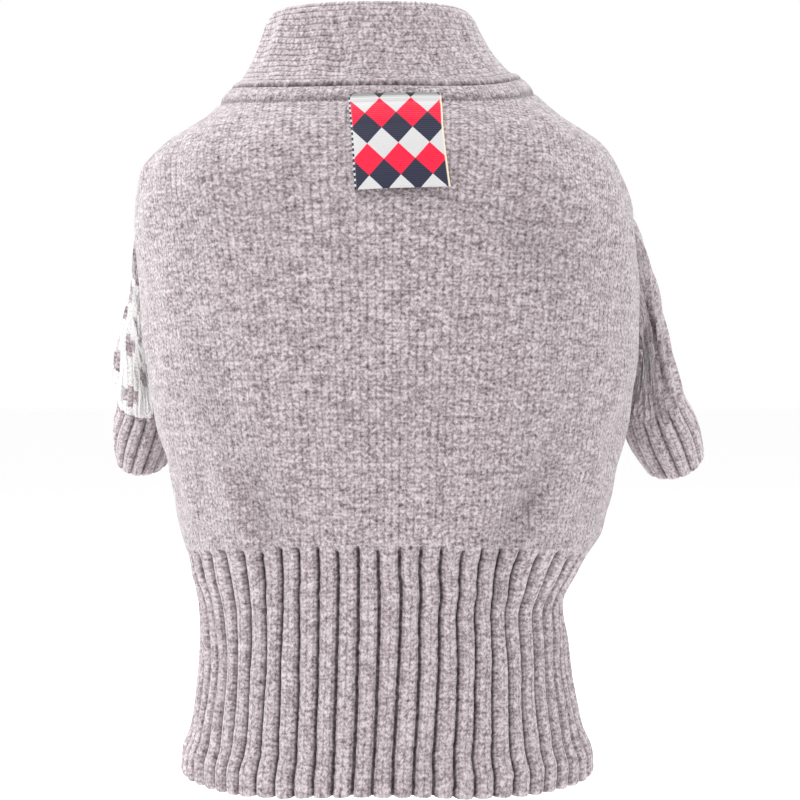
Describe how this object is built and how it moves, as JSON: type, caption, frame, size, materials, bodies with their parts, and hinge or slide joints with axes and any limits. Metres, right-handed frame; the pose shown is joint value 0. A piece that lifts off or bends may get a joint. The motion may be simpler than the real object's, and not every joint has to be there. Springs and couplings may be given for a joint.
{
  "type": "dog sweater",
  "caption": "Knitted dog sweater filled out hollow: jersey body and short sleeves, deep ribbed waist, ribbed cuffs, standing ribbed collar and a woven tape tab at the back of the neck.",
  "frame": {"origin": "middle of the neck opening at the height of the collar's seam, where the wearer's neck and shoulders hold the sweater up", "axes": "+Z along the body towards the neck, -Y towards the wearer's back, +Y towards the chest, +X towards the wearer's right"},
  "size_m": [0.1945, 0.1441, 0.2318],
  "materials": {
    "jersey": "matte heathered grey wool jersey knit",
    "rib": "matte heathered grey wool rib knit",
    "tape": "semi-matte woven polyester tape with a navy, white and red diamond pattern"
  },
  "bodies": {
    "root": {"back": "jersey", "chest": "jersey", "waist_rib_back": "rib", "waist_rib_chest": "rib", "neck_band": "rib", "collar": "rib", "sleeve_right": "jersey", "cuff_right": "rib", "sleeve_left": "jersey", "cuff_left": "rib", "neck_tab": "tape"}
  },
  "joints": []
}
